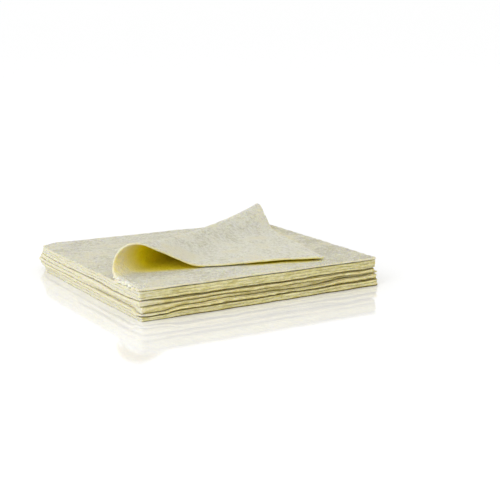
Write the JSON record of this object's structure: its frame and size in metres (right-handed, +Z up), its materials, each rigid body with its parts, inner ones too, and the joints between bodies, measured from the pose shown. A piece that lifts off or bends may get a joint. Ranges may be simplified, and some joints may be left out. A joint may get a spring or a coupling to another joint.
{
  "type": "stack of wonton wrappers",
  "caption": "Flat stack of square floury dough wrappers for wontons, the topmost one folded back over itself in a loose open roll.",
  "frame": {"origin": "on the surface the stack lies on, under the middle of its bounding box", "axes": "+Z up through the stack; +X along the side that faces the viewer's right, +Y along the side that runs back to the left"},
  "size_m": [0.0926, 0.093, 0.0214],
  "materials": {
    "dough": "pale cream dough dusted with flour, matte"
  },
  "bodies": {
    "root": {"sheet_1": "dough", "sheet_2": "dough", "sheet_3": "dough", "sheet_4": "dough", "sheet_5": "dough", "sheet_6": "dough", "sheet_7": "dough", "sheet_8": "dough", "folded_sheet": "dough"}
  },
  "joints": []
}
